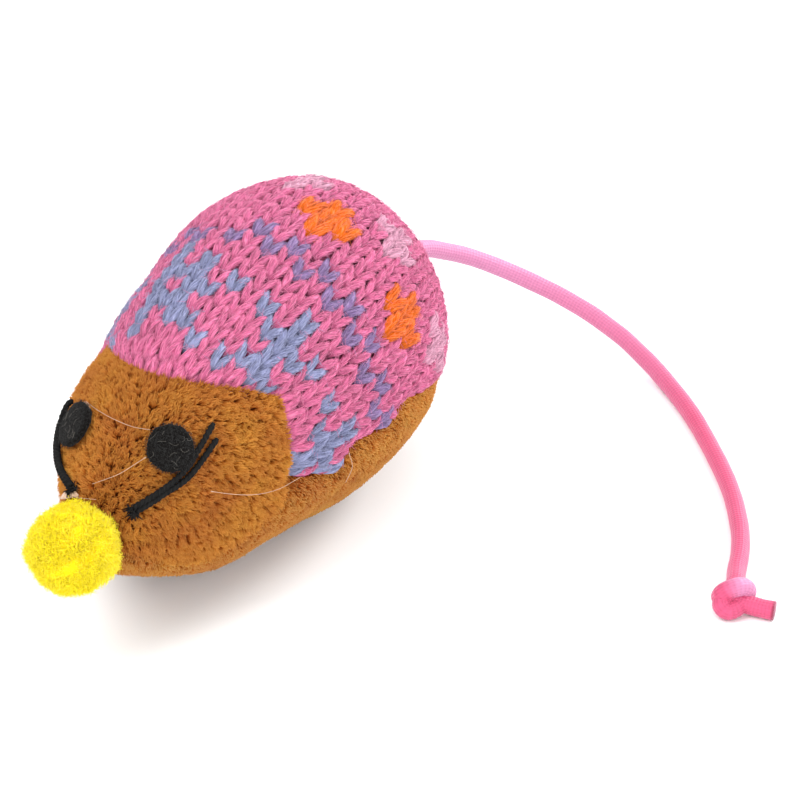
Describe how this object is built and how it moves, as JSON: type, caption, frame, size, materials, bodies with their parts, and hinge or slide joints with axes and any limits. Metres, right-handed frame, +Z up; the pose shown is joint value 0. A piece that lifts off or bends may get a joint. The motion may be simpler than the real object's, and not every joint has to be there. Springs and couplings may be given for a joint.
{
  "type": "catnip mouse",
  "caption": "Stuffed cat toy shaped like a mouse: knitted back, plush face and belly, pompom nose, felt eyes, thread whiskers and a knotted satin cord tail.",
  "frame": {"origin": "on the surface the belly rests on, under the middle of the mouse between the front of the pompom and the tail seam", "axes": "+Y from nose to tail, +X to the mouse's left, +Z up"},
  "size_m": [0.1111, 0.1343, 0.0504],
  "materials": {
    "knit_yarn": "chunky stockinette in fuzzy acrylic yarn, pink with blue, purple, orange and pale pink stitches",
    "brown_plush": "short clumpy plush pile",
    "belly_plush": "short smooth plush pile",
    "sewing_thread": "spun polyester thread",
    "polyester_fibre": "loose white fibre fill",
    "catnip_leaf": "dried crushed leaf",
    "yellow_pompom": "cut fluffy fibre",
    "black_felt": "matted felt",
    "hot_glue": "clear hot-melt glue",
    "black_thread": "twisted cotton thread",
    "pink_satin": "satin rattail cord with a soft sheen"
  },
  "bodies": {
    "mouse": {"knit_back": "knit_yarn", "face_panel": "brown_plush", "belly_panel": "belly_plush", "face_seam_thread": "sewing_thread", "belly_seam_thread": "sewing_thread", "stuffing": "polyester_fibre", "catnip_filling": "catnip_leaf", "nose_pompom": "yellow_pompom", "nose_glue": "hot_glue", "eye_left": "black_felt", "eye_right": "black_felt", "eye_glue_left": "hot_glue", "eye_glue_right": "hot_glue", "whisker_root_left": "black_thread", "whisker_root_right": "black_thread", "tail_anchor": "pink_satin"},
    "whiskers_left": {"whisker_upper_left": "black_thread", "whisker_lower_left": "black_thread"},
    "whiskers_right": {"whisker_upper_right": "black_thread", "whisker_lower_right": "black_thread"},
    "tail_base": {"tail_root": "pink_satin"},
    "tail": {"tail_cord": "pink_satin", "tail_knot": "pink_satin", "tail_end": "pink_satin"}
  },
  "joints": [
    {"name": "tail_swing", "type": "hinge", "parent": "mouse", "child": "tail_base", "pos_m": [0, 0.0531, 0.0202], "axis": [0, 0, 1], "range_deg": [-45, 90]},
    {"name": "tail_lift", "type": "hinge", "parent": "tail_base", "child": "tail", "pos_m": [0, 0.0578, 0.0202], "axis": [0.7659, -0.6429, 0], "range_deg": [0, 70]},
    {"name": "whiskers_left_lift", "type": "hinge", "parent": "mouse", "child": "whiskers_left", "pos_m": [0.00571, -0.03672, 0.02592], "axis": [0.5919, 0.044, -0.8048], "range_deg": [0, 40]},
    {"name": "whiskers_right_lift", "type": "hinge", "parent": "mouse", "child": "whiskers_right", "pos_m": [-0.00571, -0.03672, 0.02592], "axis": [0.5919, -0.044, 0.8048], "range_deg": [0, 40]}
  ]
}
